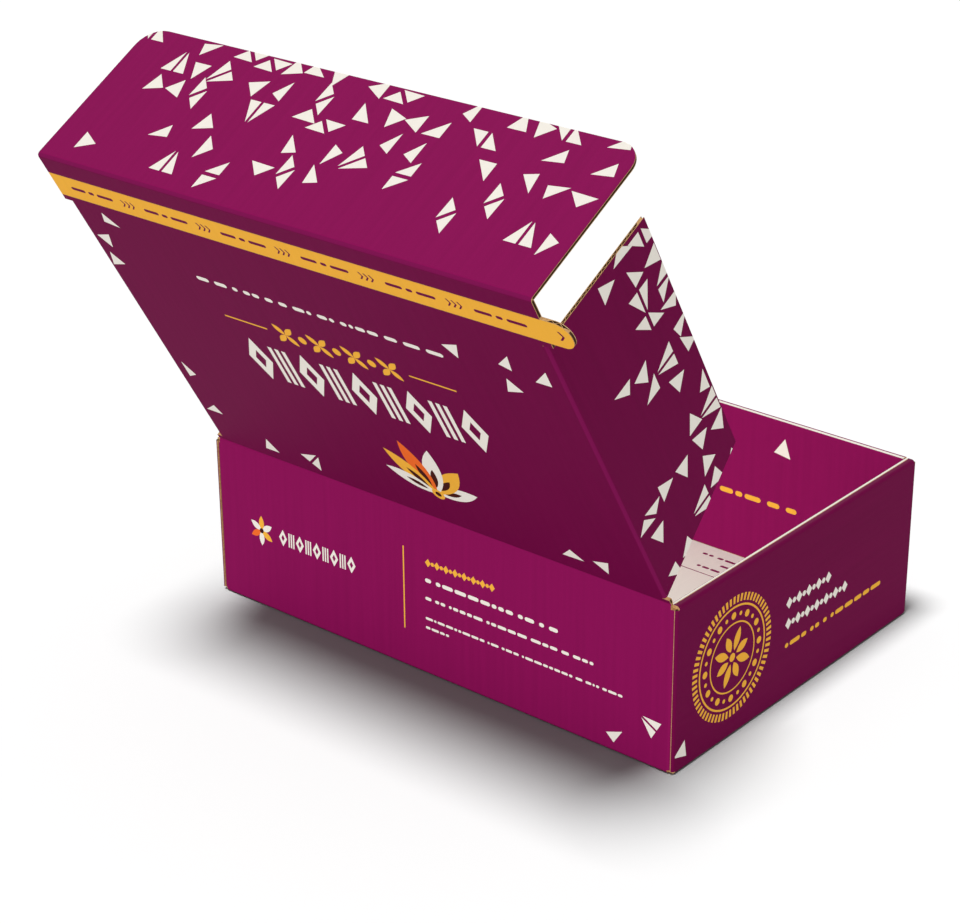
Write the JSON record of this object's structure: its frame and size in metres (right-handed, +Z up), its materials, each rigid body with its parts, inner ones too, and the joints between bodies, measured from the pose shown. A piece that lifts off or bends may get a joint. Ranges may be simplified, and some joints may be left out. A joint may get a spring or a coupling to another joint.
{
  "type": "corrugated mailer box",
  "caption": "One-piece corrugated mailer box with rolled double walls, a hinged lid, a tuck-over front flap, two side flaps and a tear strip with a pull tab.",
  "frame": {"origin": "middle of the tray's underside, on the surface the box stands on", "axes": "+Z up, -Y towards the front wall, +Y towards the back wall that carries the lid, +X along the box"},
  "size_m": [0.2749, 0.2759, 0.2791],
  "materials": {
    "printed_board": "matt print on both faces, bare kraft on the cut edges"
  },
  "bodies": {
    "tray": {"tray": "printed_board"},
    "lid": {"lid": "printed_board"},
    "front_flap": {"front_flap": "printed_board"},
    "side_flap_left": {"side_flap_left": "printed_board"},
    "side_flap_right": {"side_flap_right": "printed_board"}
  },
  "joints": [
    {"name": "lid_hinge", "type": "hinge", "parent": "tray", "child": "lid", "pos_m": [0, 0.09125, 0.0799], "axis": [-1, 0, 0], "range_deg": [-120, 60]},
    {"name": "front_flap_hinge", "type": "hinge", "parent": "lid", "child": "front_flap", "pos_m": [0, 0.18368, 0.23999], "axis": [-1, 0, 0], "range_deg": [0, 90]},
    {"name": "side_flap_left_hinge", "type": "hinge", "parent": "lid", "child": "side_flap_left", "pos_m": [-0.12625, 0.09125, 0.0799], "axis": [0, -0.5, -0.866], "range_deg": [0, 90]},
    {"name": "side_flap_right_hinge", "type": "hinge", "parent": "lid", "child": "side_flap_right", "pos_m": [0.12625, 0.09125, 0.0799], "axis": [0, 0.5, 0.866], "range_deg": [0, 90]}
  ]
}
